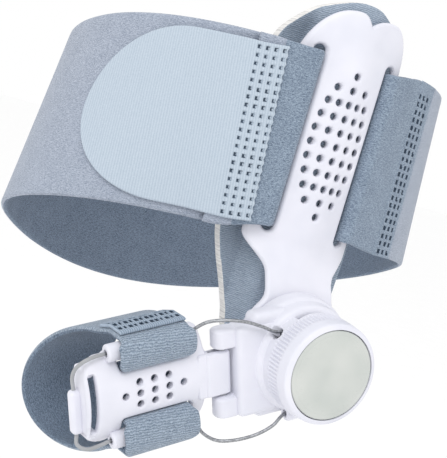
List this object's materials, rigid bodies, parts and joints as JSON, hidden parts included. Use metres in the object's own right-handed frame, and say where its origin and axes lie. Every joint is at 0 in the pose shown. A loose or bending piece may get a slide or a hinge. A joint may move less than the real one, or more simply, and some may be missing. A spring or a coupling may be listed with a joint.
{
  "type": "bunion corrector",
  "caption": "Bunion corrector: strapped side plate, tightening dial and hinged toe splint with a toe band, drawn outwards by a wire.",
  "frame": {"origin": "middle of the foot loop, at half the height of the strap slots", "axes": "+Z along the plate towards the heel end, -Y out of the plate, +X to the right seen from the dial's side"},
  "size_m": [0.1325, 0.127, 0.1371],
  "materials": {
    "white_plastic": "smooth moulded white plastic, satin",
    "pearl_cap": "pearly grey-green disc",
    "strap_felt": "grey-blue brushed loop cloth",
    "hook_tape": "smooth pale blue-grey tab with fine lines",
    "pad_knit": "grey knitted liner with a pale cut edge",
    "toe_knit": "grey knitted elastic band",
    "toe_hook": "pierced grey closing tab",
    "steel": "thin twisted steel wire",
    "sheath": "pale plastic sheath on the wire"
  },
  "bodies": {
    "foot": {"foot_plate": "white_plastic", "foot_pad": "pad_knit", "foot_strap": "strap_felt", "hook_tab": "hook_tape"},
    "head": {"housing": "white_plastic", "hinge_pin": "steel", "cable_upper": "steel", "cable_lower": "steel"},
    "dial": {"dial_knob": "white_plastic", "dial_cap": "pearl_cap"},
    "toe": {"toe_splint": "white_plastic", "toe_strap": "toe_knit", "toe_tab": "toe_hook", "cable_end_upper": "sheath", "cable_end_lower": "sheath"}
  },
  "joints": [
    {"name": "swivel", "type": "hinge", "parent": "foot", "child": "head", "pos_m": [0, -0.0542, -0.0551], "axis": [0, -1, 0], "range_deg": [0, 139.2]},
    {"name": "dial_turn", "type": "hinge", "parent": "head", "child": "dial", "pos_m": [0, -0.0542, -0.0551], "axis": [0, -1, 0], "continuous": true},
    {"name": "toe_hinge", "type": "hinge", "parent": "head", "child": "toe", "pos_m": [-0.02081, -0.058, -0.06284], "axis": [-0.3486, 0, 0.9373], "range_deg": [-20, 40], "deforming": ["cable_upper", "cable_lower"]}
  ]
}
